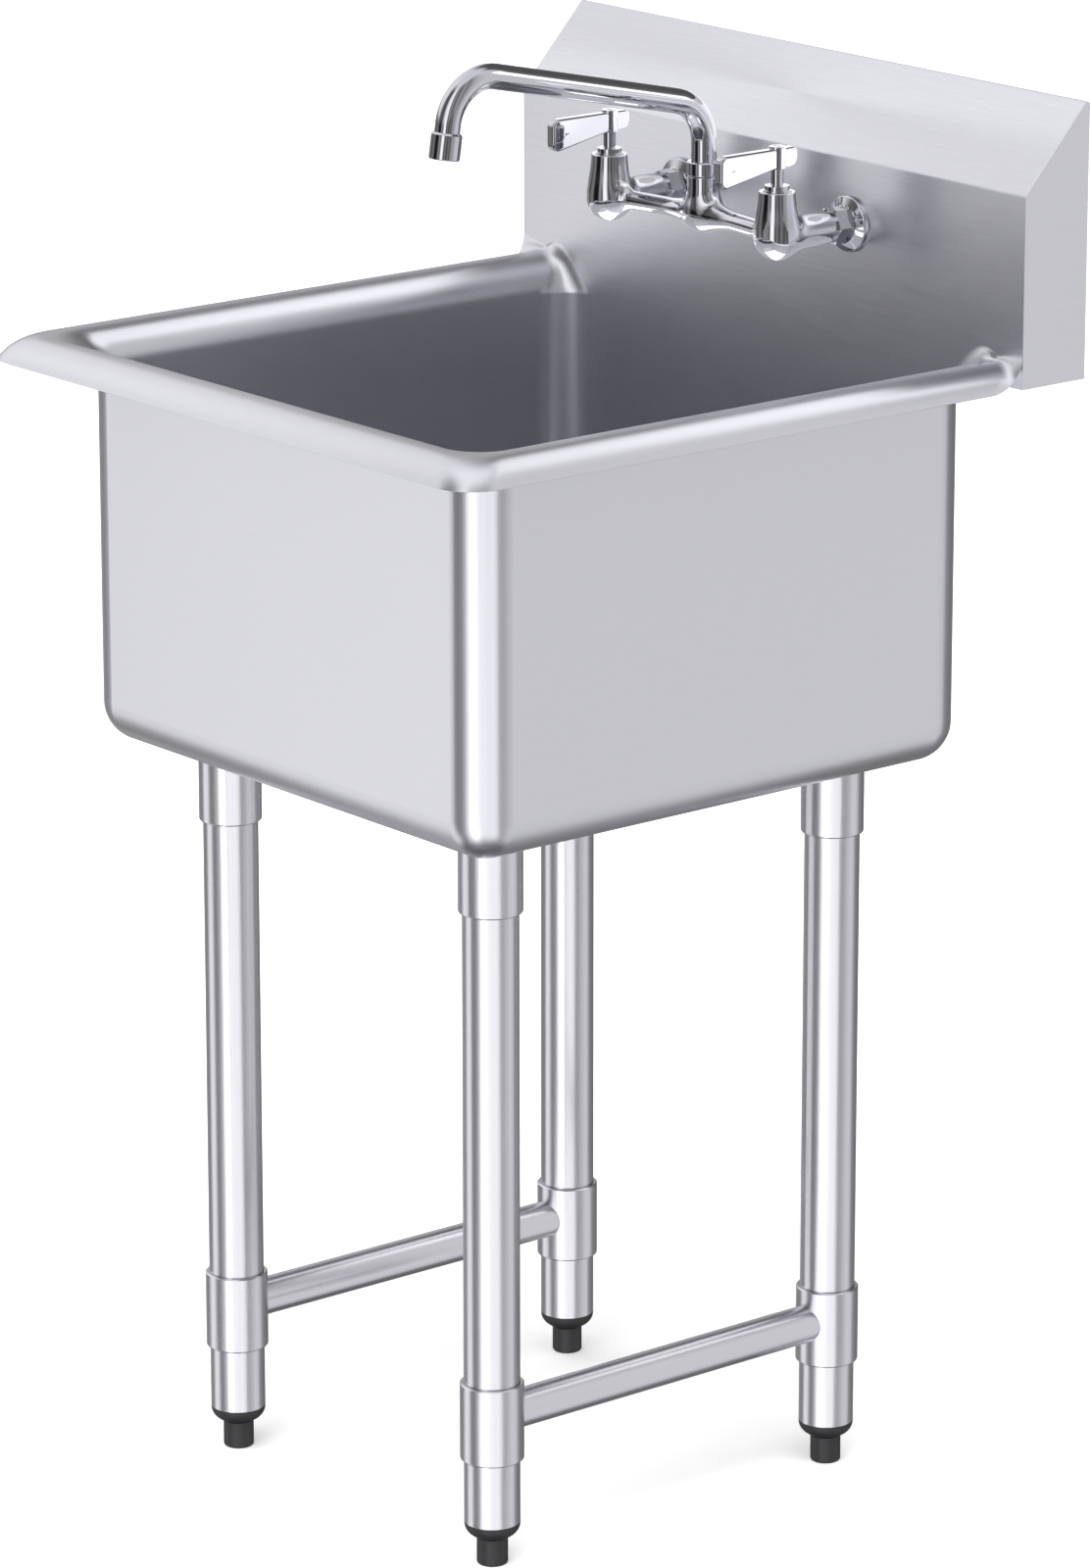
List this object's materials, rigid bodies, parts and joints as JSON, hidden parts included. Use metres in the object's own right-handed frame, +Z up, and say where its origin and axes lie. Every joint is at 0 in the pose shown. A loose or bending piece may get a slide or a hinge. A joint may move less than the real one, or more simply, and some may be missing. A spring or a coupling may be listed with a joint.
{
  "type": "utility laundry sink",
  "caption": "Free-standing steel utility sink on tube legs, with a rolled rim, a sloped backsplash and a wall-mount mixer tap with a swivel spout.",
  "frame": {"origin": "on the floor, under the centre of the whole object's box", "axes": "+X to the right, -Y to the user, +Y to the wall, +Z up"},
  "size_m": [0.568, 0.575, 1.0733],
  "materials": {
    "bowl_steel": "satin sheet steel with fine brush lines",
    "rim_steel": "satin sheet steel, polished on its roll",
    "backsplash_steel": "brushed sheet steel, lines along its width",
    "socket_steel": "satin turned steel",
    "tube_steel": "satin drawn tube",
    "screw_steel": "plain steel",
    "drain_steel": "pressed steel, lightly polished",
    "tap_chrome": "mirror chrome on cast brass",
    "raw_brass": "plain machined brass",
    "black_nylon": "matt moulded black",
    "white_nylon": "moulded off-white",
    "black_rubber": "moulded black rubber",
    "fibre_washer": "red fibre"
  },
  "bodies": {
    "sink": {"bowl": "bowl_steel", "rolled_rim": "rim_steel", "backsplash": "backsplash_steel", "backsplash_end_left": "backsplash_steel", "backsplash_end_right": "backsplash_steel", "leg_socket_front_left": "socket_steel", "leg_socket_front_right": "socket_steel", "leg_socket_back_left": "socket_steel", "leg_socket_back_right": "socket_steel", "socket_set_screws": "screw_steel", "leg_front_left": "tube_steel", "leg_front_right": "tube_steel", "leg_back_left": "tube_steel", "leg_back_right": "tube_steel", "rail_collar_front_left": "tube_steel", "rail_collar_front_right": "tube_steel", "rail_collar_back_left": "tube_steel", "rail_collar_back_right": "tube_steel", "collar_set_screws": "screw_steel", "side_rail_left": "tube_steel", "side_rail_right": "tube_steel", "foot_cap_front_left": "black_nylon", "foot_cap_front_right": "black_nylon", "foot_cap_back_left": "black_nylon", "foot_cap_back_right": "black_nylon", "strainer_body": "drain_steel", "strainer_gasket": "black_rubber", "strainer_washer": "fibre_washer", "strainer_locknut": "raw_brass", "tap_body": "tap_chrome", "wall_flange_left": "tap_chrome", "wall_flange_right": "tap_chrome", "union_nut_left": "tap_chrome", "union_nut_right": "tap_chrome", "union_washers": "black_rubber", "inlet_shank_left": "raw_brass", "inlet_shank_right": "raw_brass", "shank_locknuts": "raw_brass", "bonnet_left": "tap_chrome", "bonnet_right": "tap_chrome", "cartridge_left": "white_nylon", "cartridge_right": "white_nylon", "spout_nut": "tap_chrome"},
    "swivel_spout": {"spout": "tap_chrome", "spout_orings": "black_rubber", "aerator": "tap_chrome", "aerator_insert": "white_nylon"},
    "left_handle": {"lever_left": "tap_chrome", "valve_stem_left": "tap_chrome", "lever_screw_left": "screw_steel"},
    "right_handle": {"lever_right": "tap_chrome", "valve_stem_right": "tap_chrome", "lever_screw_right": "screw_steel"},
    "lift_out_basket": {"strainer_basket": "drain_steel", "basket_seal": "black_rubber"},
    "adjuster_front_left": {"foot_front_left": "black_nylon"},
    "adjuster_front_right": {"foot_front_right": "black_nylon"},
    "adjuster_back_left": {"foot_back_left": "black_nylon"},
    "adjuster_back_right": {"foot_back_right": "black_nylon"}
  },
  "joints": [
    {"name": "spout_swivel", "type": "hinge", "parent": "sink", "child": "swivel_spout", "pos_m": [0, 0.1664, 0.972], "axis": [0, 0, 1], "range_deg": [-100, 100]},
    {"name": "left_handle_turn", "type": "hinge", "parent": "sink", "child": "left_handle", "pos_m": [-0.09525, 0.1552, 0.983], "axis": [0, 0, 1], "range_deg": [-90, 0]},
    {"name": "right_handle_turn", "type": "hinge", "parent": "sink", "child": "right_handle", "pos_m": [0.09525, 0.1552, 0.983], "axis": [0, 0, 1], "range_deg": [0, 90]},
    {"name": "basket_lift", "type": "slide", "parent": "sink", "child": "lift_out_basket", "axis": [0, 0, 1], "range_m": [0, 0.06]},
    {"name": "foot_front_left_adjust", "type": "slide", "parent": "sink", "child": "adjuster_front_left", "axis": [0, 0, -1], "range_m": [0, 0.025]},
    {"name": "foot_front_right_adjust", "type": "slide", "parent": "sink", "child": "adjuster_front_right", "axis": [0, 0, -1], "range_m": [0, 0.025]},
    {"name": "foot_back_left_adjust", "type": "slide", "parent": "sink", "child": "adjuster_back_left", "axis": [0, 0, -1], "range_m": [0, 0.025]},
    {"name": "foot_back_right_adjust", "type": "slide", "parent": "sink", "child": "adjuster_back_right", "axis": [0, 0, -1], "range_m": [0, 0.025]}
  ]
}
